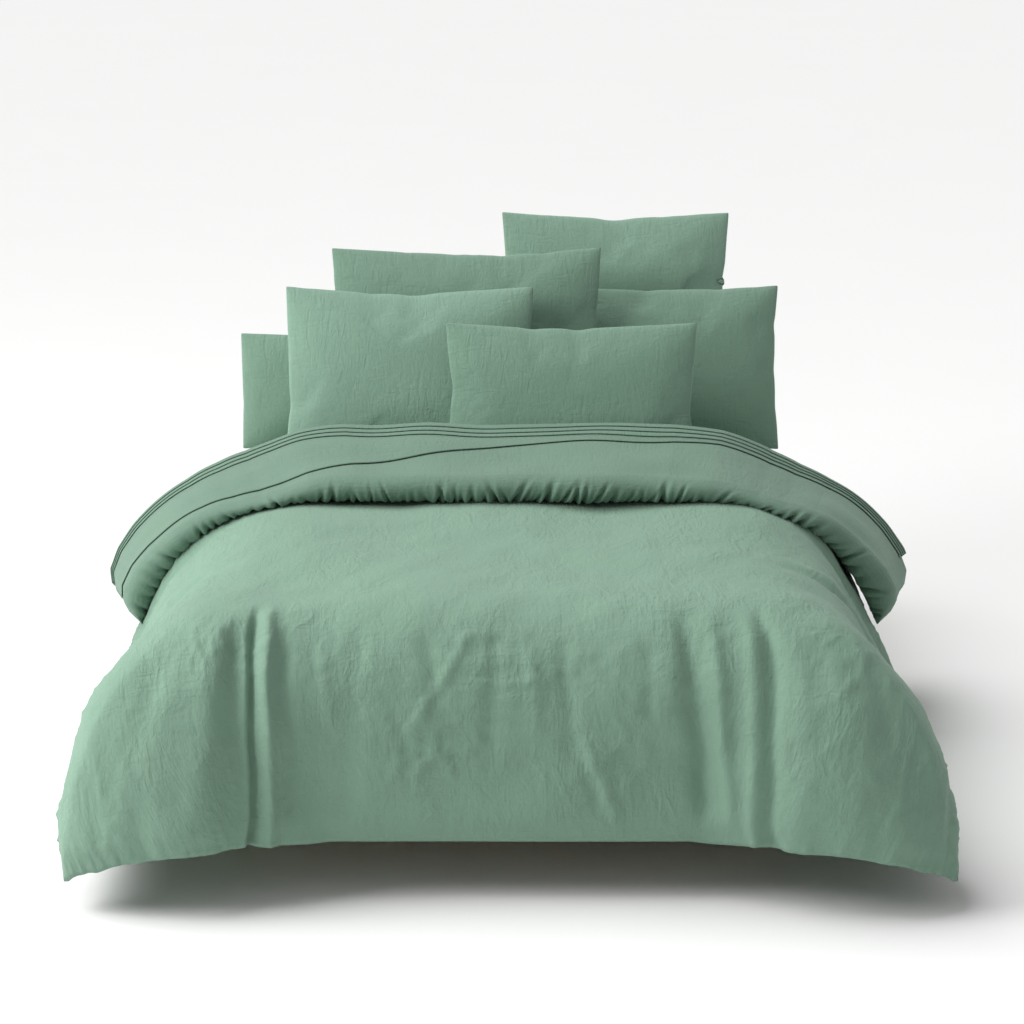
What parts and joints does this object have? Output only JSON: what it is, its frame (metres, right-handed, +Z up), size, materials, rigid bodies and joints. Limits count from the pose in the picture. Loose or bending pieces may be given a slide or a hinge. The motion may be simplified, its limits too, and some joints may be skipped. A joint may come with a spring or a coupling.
{
  "type": "duvet on a bed",
  "caption": "Double bed made up in sage green: a puffy duvet falling over three sides, its head end turned down with the flat sheet, and six leaning pillows.",
  "frame": {"origin": "on the floor, under the middle of the whole object's box", "axes": "+X to the right seen from the foot, +Y from the foot towards the head, +Z up"},
  "size_m": [2.075, 2.3969, 1.1347],
  "materials": {
    "sage_linen": "washed cotton, matt with a soft sheen",
    "white_fill": "white fibre filling",
    "ticking_cloth": "quilted ticking",
    "pine": "clear matt varnish",
    "button_shell": "smooth"
  },
  "bodies": {
    "bed_base": {"side_rail_left": "pine", "side_rail_right": "pine", "foot_rail": "pine", "head_rail": "pine", "centre_beam": "pine", "slat_01": "pine", "slat_02": "pine", "slat_03": "pine", "slat_04": "pine", "slat_05": "pine", "slat_06": "pine", "slat_07": "pine", "slat_08": "pine", "slat_09": "pine", "slat_10": "pine", "leg_foot_left": "pine", "leg_foot_right": "pine", "leg_head_left": "pine", "leg_head_right": "pine", "leg_centre_foot": "pine", "leg_centre_head": "pine"},
    "mattress": {"mattress_core": "white_fill", "mattress_border": "ticking_cloth", "mattress_top_panel": "ticking_cloth", "mattress_bottom_panel": "ticking_cloth", "fitted_sheet": "sage_linen"},
    "duvet": {"duvet_cover_body": "sage_linen", "duvet_insert_body": "white_fill", "flat_sheet_body": "sage_linen", "cover_button_1": "button_shell", "cover_button_2": "button_shell", "cover_button_3": "button_shell", "cover_button_4": "button_shell", "cover_button_5": "button_shell", "cover_button_6": "button_shell", "cover_tie_foot_left": "sage_linen", "cover_tie_foot_right": "sage_linen"},
    "turn_down": {"duvet_cover_turn_down": "sage_linen", "duvet_insert_turn_down": "white_fill", "flat_sheet_turn_down": "sage_linen", "cover_tie_head_left": "sage_linen", "cover_tie_head_right": "sage_linen"},
    "pillow_body_euro_right": {"pillowcase_euro_right": "sage_linen", "pillow_euro_right": "white_fill"},
    "pillow_body_back_left": {"pillowcase_back_left": "sage_linen", "pillow_back_left": "white_fill"},
    "pillow_body_back_right": {"pillowcase_back_right": "sage_linen", "pillow_back_right": "white_fill"},
    "pillow_body_tall_left": {"pillowcase_tall_left": "sage_linen", "pillow_tall_left": "white_fill"},
    "pillow_body_middle_left": {"pillowcase_middle_left": "sage_linen", "pillow_middle_left": "white_fill"},
    "pillow_body_front": {"pillowcase_front": "sage_linen", "pillow_front": "white_fill"}
  },
  "joints": [
    {"name": "mattress_lift", "type": "slide", "parent": "bed_base", "child": "mattress", "axis": [0, 0, 1], "range_m": [0, 0.3]},
    {"name": "duvet_lift", "type": "slide", "parent": "mattress", "child": "duvet", "axis": [0, 0, 1], "range_m": [0, 0.5]},
    {"name": "turn_down_fold", "type": "hinge", "parent": "duvet", "child": "turn_down", "pos_m": [0, 0.3811, 0.7044], "axis": [-1, 0, 0], "range_deg": [0, 85]},
    {"name": "pillow_euro_right_lift", "type": "slide", "parent": "mattress", "child": "pillow_body_euro_right", "axis": [0, 0.3584, 0.9336], "range_m": [0, 0.5]},
    {"name": "pillow_back_left_lift", "type": "slide", "parent": "mattress", "child": "pillow_body_back_left", "axis": [0, 0.3584, 0.9336], "range_m": [0, 0.5]},
    {"name": "pillow_back_right_lift", "type": "slide", "parent": "mattress", "child": "pillow_body_back_right", "axis": [0, 0.3584, 0.9336], "range_m": [0, 0.5]},
    {"name": "pillow_tall_left_lift", "type": "slide", "parent": "mattress", "child": "pillow_body_tall_left", "axis": [0, 0.3584, 0.9336], "range_m": [0, 0.5]},
    {"name": "pillow_middle_left_lift", "type": "slide", "parent": "mattress", "child": "pillow_body_middle_left", "axis": [0, 0.3584, 0.9336], "range_m": [0, 0.5]},
    {"name": "pillow_front_lift", "type": "slide", "parent": "mattress", "child": "pillow_body_front", "axis": [0, 0.3584, 0.9336], "range_m": [0, 0.5]}
  ]
}
